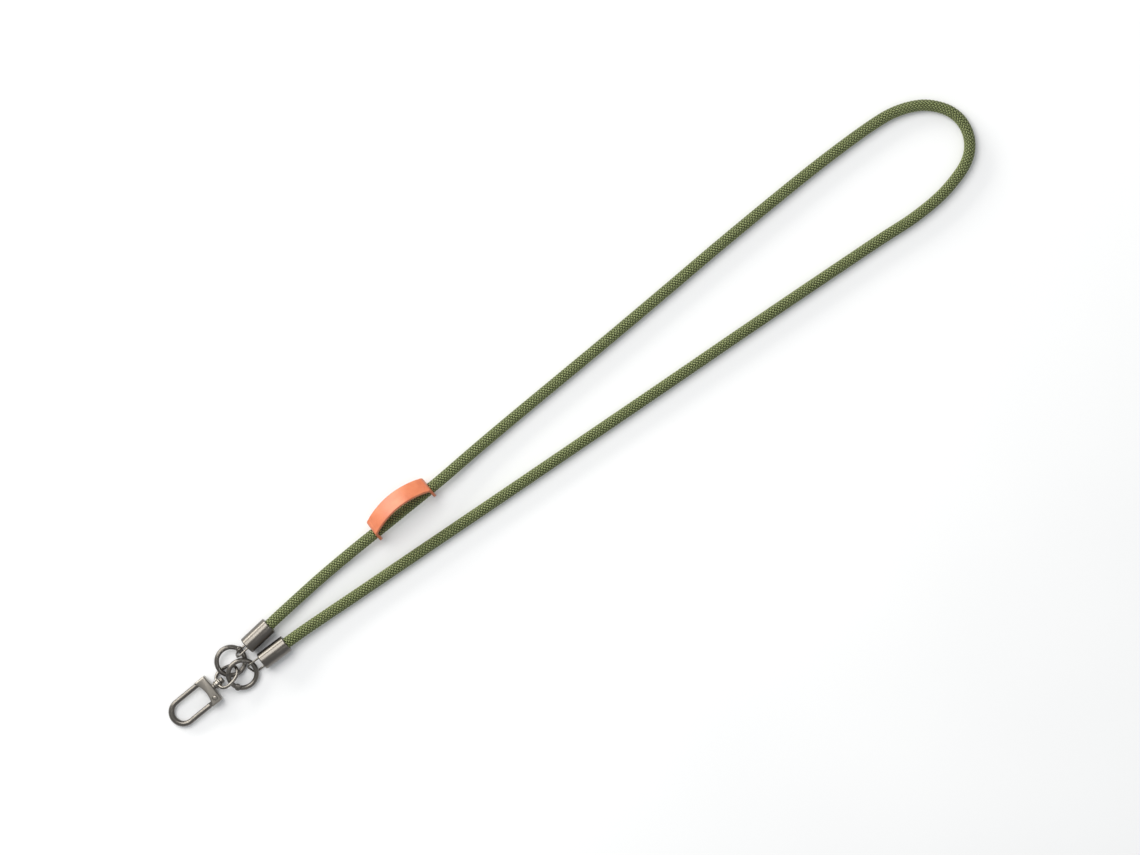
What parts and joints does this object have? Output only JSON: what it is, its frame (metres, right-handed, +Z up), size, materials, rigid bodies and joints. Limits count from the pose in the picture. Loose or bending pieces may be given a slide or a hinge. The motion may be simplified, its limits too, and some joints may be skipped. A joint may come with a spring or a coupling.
{
  "type": "phone crossbody strap",
  "caption": "Braided round-cord crossbody strap folded in half, with metal end caps, two spring gate rings, a swivel snap clasp and a leather keeper.",
  "frame": {"origin": "centre of the whole laid-out strap seen from above, on the surface it rests on", "axes": "+X from the snap clasp towards the fold of the cord, +Y across the two legs towards the leg with the keeper, +Z up from the surface"},
  "size_m": [0.6805, 0.0763, 0.0227],
  "materials": {
    "braided_cord": "matte",
    "gunmetal": "satin",
    "satin_gunmetal": "satin",
    "tan_leather": "satin"
  },
  "bodies": {
    "strap": {"cord": "braided_cord", "end_cap_upper": "gunmetal", "end_cap_lower": "gunmetal", "spring_ring_upper": "gunmetal", "spring_ring_lower": "gunmetal", "swivel_bail": "gunmetal", "leather_keeper": "tan_leather"},
    "clasp": {"clasp_body": "satin_gunmetal", "clasp_rivet": "satin_gunmetal"},
    "clasp_lever": {"clasp_gate": "gunmetal"},
    "upper_ring_gate": {"spring_gate_upper": "gunmetal"},
    "lower_ring_gate": {"spring_gate_lower": "gunmetal"}
  },
  "joints": [
    {"name": "clasp_swivel", "type": "hinge", "parent": "strap", "child": "clasp", "pos_m": [-0.30304, -0.00223, 0.00492], "axis": [0.9961, 0.04, 0.0785], "continuous": true},
    {"name": "clasp_gate_hinge", "type": "hinge", "parent": "clasp", "child": "clasp_lever", "pos_m": [-0.30617, -0.00876, 0.00465], "axis": [0.0784, 0.0031, -0.9969], "range_deg": [0, 20], "stiffness_Nm_per_rad": 0.02, "springref_deg": -20.05},
    {"name": "upper_ring_gate_hinge", "type": "hinge", "parent": "strap", "child": "upper_ring_gate", "pos_m": [-0.27386, 0.00775, 0.00402], "axis": [-0.0832, 0.186, -0.979], "range_deg": [0, 16], "stiffness_Nm_per_rad": 0.01, "springref_deg": -20.05},
    {"name": "lower_ring_gate_hinge", "type": "hinge", "parent": "strap", "child": "lower_ring_gate", "pos_m": [-0.29001, -0.01222, 0.00468], "axis": [-0.048, 0.2738, -0.9606], "range_deg": [0, 16], "stiffness_Nm_per_rad": 0.01, "springref_deg": -20.05}
  ]
}
